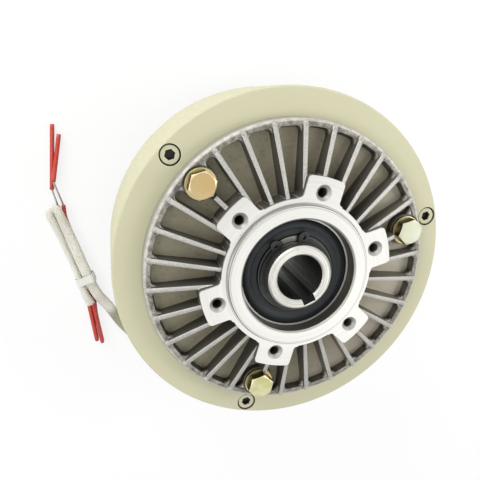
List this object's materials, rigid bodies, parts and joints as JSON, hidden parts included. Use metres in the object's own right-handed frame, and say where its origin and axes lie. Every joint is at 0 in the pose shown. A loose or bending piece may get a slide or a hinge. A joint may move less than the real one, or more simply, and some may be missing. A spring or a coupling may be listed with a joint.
{
  "type": "magnetic powder brake",
  "caption": "Through-shaft magnetic powder brake: cream drum with finned aluminium covers, eared hub, keyed hollow shaft on sealed bearings and a folded two-wire lead.",
  "frame": {"origin": "middle of the rear hub face that the brake lies on", "axes": "+Z along the shaft towards the eared front hub, +X through the first cap screw, cover bolt and ear"},
  "size_m": [0.2346, 0.2231, 0.0946],
  "materials": {
    "cream_paint": "cream paint with a light orange peel",
    "cast_aluminium": "shot blasted casting with machined hub faces and rubbed fin crests",
    "yellow_zinc": "yellow passivated zinc plating on steel",
    "steel": "ground steel",
    "bright_steel": "bright turned steel",
    "black_steel": "black oxide spring steel",
    "seal_rubber": "smooth dark rubber",
    "black_plastic": "moulded black plastic",
    "copper": "enamelled copper wire, close wound",
    "iron_powder": "fine grey iron powder",
    "felt": "dark felt",
    "woven_sleeve": "off-white woven glass sleeve",
    "red_insulation": "soft red silicone insulation",
    "white_band": "white band tie",
    "tinned_copper": "tinned stranded copper"
  },
  "bodies": {
    "housing": {"front_yoke": "cream_paint", "rear_yoke": "cream_paint", "yoke_screws": "cream_paint", "coil_bobbin": "black_plastic", "coil_winding": "copper", "pole_spacer": "steel", "powder_ring": "iron_powder", "front_cover": "cast_aluminium", "rear_cover": "cast_aluminium", "front_cover_bolts": "yellow_zinc", "rear_cover_bolts": "yellow_zinc", "front_cover_washers": "yellow_zinc", "rear_cover_washers": "yellow_zinc", "front_bearing_outer_race": "steel", "rear_bearing_outer_race": "steel", "front_bearing_seals": "seal_rubber", "rear_bearing_seals": "seal_rubber", "front_seal_plate": "steel", "rear_seal_plate": "steel", "front_shaft_seal": "felt", "rear_shaft_seal": "felt", "lead_grommet": "seal_rubber", "lead_sleeve": "woven_sleeve", "lead_wire_a": "red_insulation", "lead_wire_b": "red_insulation", "lead_tie": "white_band", "lead_strands": "tinned_copper", "lead_slugs": "red_insulation"},
    "rotor": {"shaft": "bright_steel", "rotor_drum": "steel", "rotor_key": "steel", "front_bearing_inner_race": "steel", "rear_bearing_inner_race": "steel", "front_circlip": "black_steel", "rear_circlip": "black_steel"},
    "front_cage": {"front_bearing_cage": "yellow_zinc", "front_bearing_balls": "steel"},
    "rear_cage": {"rear_bearing_cage": "yellow_zinc", "rear_bearing_balls": "steel"}
  },
  "joints": [
    {"name": "shaft_spin", "type": "hinge", "parent": "housing", "child": "rotor", "pos_m": [0, 0, 0.047], "axis": [0, 0, 1], "continuous": true},
    {"name": "front_cage_spin", "type": "hinge", "parent": "housing", "child": "front_cage", "pos_m": [0, 0, 0.0825], "axis": [0, 0, 1], "continuous": true},
    {"name": "rear_cage_spin", "type": "hinge", "parent": "housing", "child": "rear_cage", "pos_m": [0, 0, 0.0115], "axis": [0, 0, 1], "continuous": true}
  ],
  "couplings": [
    {"joint": "front_cage_spin", "follows": "shaft_spin", "ratio": 0.4485},
    {"joint": "rear_cage_spin", "follows": "shaft_spin", "ratio": 0.4485}
  ]
}
